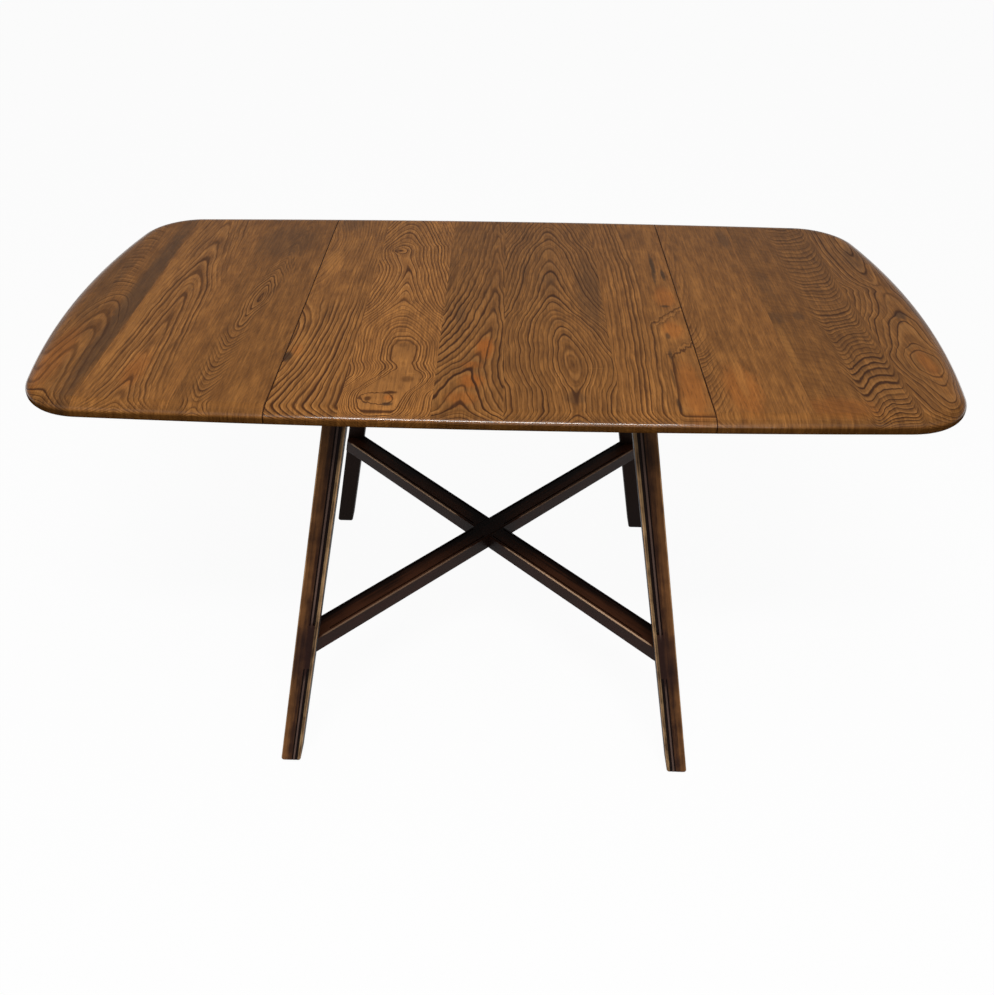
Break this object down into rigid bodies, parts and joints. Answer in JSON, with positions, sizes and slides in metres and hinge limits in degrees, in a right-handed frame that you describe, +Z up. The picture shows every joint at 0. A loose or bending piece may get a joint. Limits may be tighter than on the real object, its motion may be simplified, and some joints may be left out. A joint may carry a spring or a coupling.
{
  "type": "drop-leaf dining table",
  "caption": "Drop-leaf dining table in dark elm: bowed plank top with hinged leaves on pull-out lopers, splayed tapered legs and a crossed diagonal stretcher.",
  "frame": {"origin": "on the floor, under the middle of the top", "axes": "+Z up, +X along the length towards the right leaf, -Y towards the front"},
  "size_m": [1.388, 0.756, 0.72],
  "materials": {
    "top_elm": "stained elm, satin lacquer",
    "leg_elm": "dark stained elm, satin, worn arrises",
    "stretcher_elm": "near-black stained elm, satin, worn arrises",
    "rail_wood": "stained, unpolished",
    "loper_wood": "waxed beech",
    "dowel_wood": "plain beech",
    "hinge_steel": "dulled plated steel",
    "steel_screw": "dulled steel"
  },
  "bodies": {
    "frame": {"centre_far_left_board": "top_elm", "centre_left_board": "top_elm", "centre_middle_board": "top_elm", "centre_right_board": "top_elm", "centre_far_right_board": "top_elm", "front_left_leg": "leg_elm", "front_right_leg": "leg_elm", "back_left_leg": "leg_elm", "back_right_leg": "leg_elm", "upper_stretcher": "stretcher_elm", "lower_stretcher": "stretcher_elm", "stretcher_dowels": "dowel_wood", "crossing_screw": "steel_screw", "front_rail": "rail_wood", "back_rail": "rail_wood", "left_cross_rail": "rail_wood", "right_cross_rail": "rail_wood", "middle_bearer": "rail_wood", "top_screws": "steel_screw", "left_hinge_pins": "hinge_steel", "left_hinge_fixed_flaps": "hinge_steel", "left_fixed_flap_screws": "steel_screw", "right_hinge_pins": "hinge_steel", "right_hinge_fixed_flaps": "hinge_steel", "right_fixed_flap_screws": "steel_screw"},
    "left_leaf": {"left_leaf_inner_board": "top_elm", "left_leaf_middle_board": "top_elm", "left_leaf_outer_board": "top_elm", "left_hinge_moving_flaps": "hinge_steel", "left_moving_flap_screws": "steel_screw"},
    "left_front_support": {"left_front_loper": "loper_wood", "left_front_stop_peg": "dowel_wood"},
    "left_back_support": {"left_back_loper": "loper_wood", "left_back_stop_peg": "dowel_wood"},
    "right_leaf": {"right_leaf_inner_board": "top_elm", "right_leaf_middle_board": "top_elm", "right_leaf_outer_board": "top_elm", "right_hinge_moving_flaps": "hinge_steel", "right_moving_flap_screws": "steel_screw"},
    "right_front_support": {"right_front_loper": "loper_wood", "right_front_stop_peg": "dowel_wood"},
    "right_back_support": {"right_back_loper": "loper_wood", "right_back_stop_peg": "dowel_wood"}
  },
  "joints": [
    {"name": "left_leaf_hinge", "type": "hinge", "parent": "frame", "child": "left_leaf", "pos_m": [-0.306, 0, 0.6955], "axis": [0, 1, 0], "range_deg": [-90, 0]},
    {"name": "left_front_loper_slide", "type": "slide", "parent": "frame", "child": "left_front_support", "axis": [-1, 0, 0], "range_m": [0, 0.165]},
    {"name": "left_back_loper_slide", "type": "slide", "parent": "frame", "child": "left_back_support", "axis": [-1, 0, 0], "range_m": [0, 0.165]},
    {"name": "right_leaf_hinge", "type": "hinge", "parent": "frame", "child": "right_leaf", "pos_m": [0.306, 0, 0.6955], "axis": [0, -1, 0], "range_deg": [-90, 0]},
    {"name": "right_front_loper_slide", "type": "slide", "parent": "frame", "child": "right_front_support", "axis": [1, 0, 0], "range_m": [0, 0.165]},
    {"name": "right_back_loper_slide", "type": "slide", "parent": "frame", "child": "right_back_support", "axis": [1, 0, 0], "range_m": [0, 0.165]}
  ]
}
